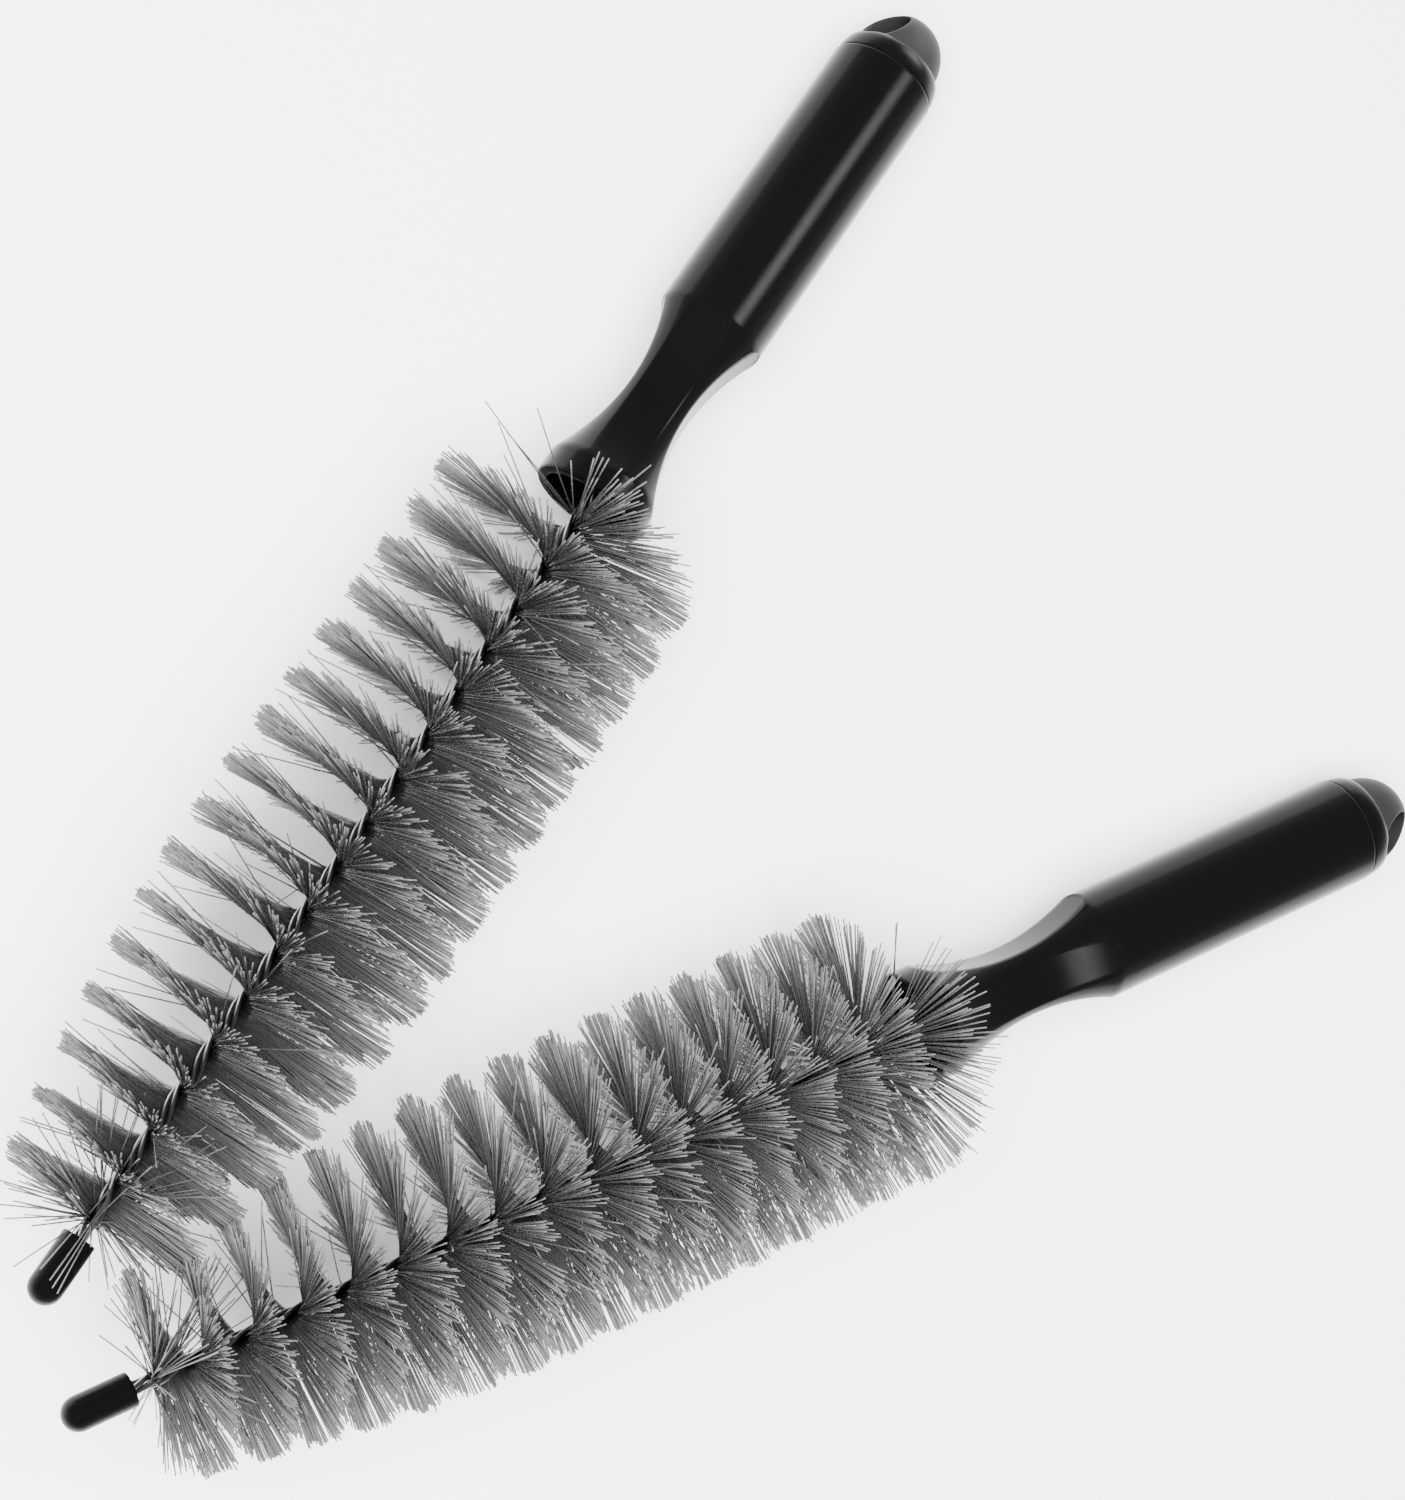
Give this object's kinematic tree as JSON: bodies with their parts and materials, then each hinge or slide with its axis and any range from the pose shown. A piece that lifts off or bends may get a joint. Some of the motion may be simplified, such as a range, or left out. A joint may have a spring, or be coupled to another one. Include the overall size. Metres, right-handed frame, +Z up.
{
  "type": "wheel cleaning brush pair",
  "caption": "Pair of long drum brushes: bristles twisted into a wire stem with a capped tip, on black scooped grips with hanging eyes.",
  "frame": {"origin": "middle of the pair's bounding box, on the surface that the brushes lie on", "axes": "+X from the bristle tips towards the grips, halfway between the two brushes; +Z up; brush a is on the +Y side"},
  "size_m": [0.4251, 0.2916, 0.0979],
  "materials": {
    "grip_plastic": "gloss moulded, black",
    "plug_plastic": "gloss moulded, black",
    "ferrule_steel": "plain crimped tube",
    "stem_wire": "bright drawn wire",
    "bristle_nylon": "grey translucent filament",
    "tip_vinyl": "dipped soft vinyl, satin black"
  },
  "bodies": {
    "brush_a": {"handle_a": "grip_plastic", "stem_ferrule_a": "ferrule_steel", "stem_wire_a1": "stem_wire", "stem_wire_a2": "stem_wire", "stem_wire_a3": "stem_wire", "stem_wire_a4": "stem_wire", "bristles_a": "bristle_nylon", "tip_cap_a": "tip_vinyl"},
    "plug_a": {"hanger_plug_a": "plug_plastic"},
    "brush_b": {"handle_b": "grip_plastic", "stem_ferrule_b": "ferrule_steel", "stem_wire_b1": "stem_wire", "stem_wire_b2": "stem_wire", "stem_wire_b3": "stem_wire", "stem_wire_b4": "stem_wire", "bristles_b": "bristle_nylon", "tip_cap_b": "tip_vinyl"},
    "plug_b": {"hanger_plug_b": "plug_plastic"}
  },
  "joints": [
    {"name": "plug_a_turn", "type": "hinge", "parent": "brush_a", "child": "plug_a", "pos_m": [0.19194, 0.13, 0.01576], "axis": [-0.9489, -0.2811, 0.1431], "continuous": true},
    {"name": "brush_b_lift", "type": "slide", "parent": "brush_a", "child": "brush_b", "axis": [0, 0, 1], "range_m": [0, 0.3]},
    {"name": "plug_b_turn", "type": "hinge", "parent": "brush_b", "child": "plug_b", "pos_m": [0.17894, -0.13, 0.01576], "axis": [-0.9489, 0.2811, 0.1431], "continuous": true}
  ]
}
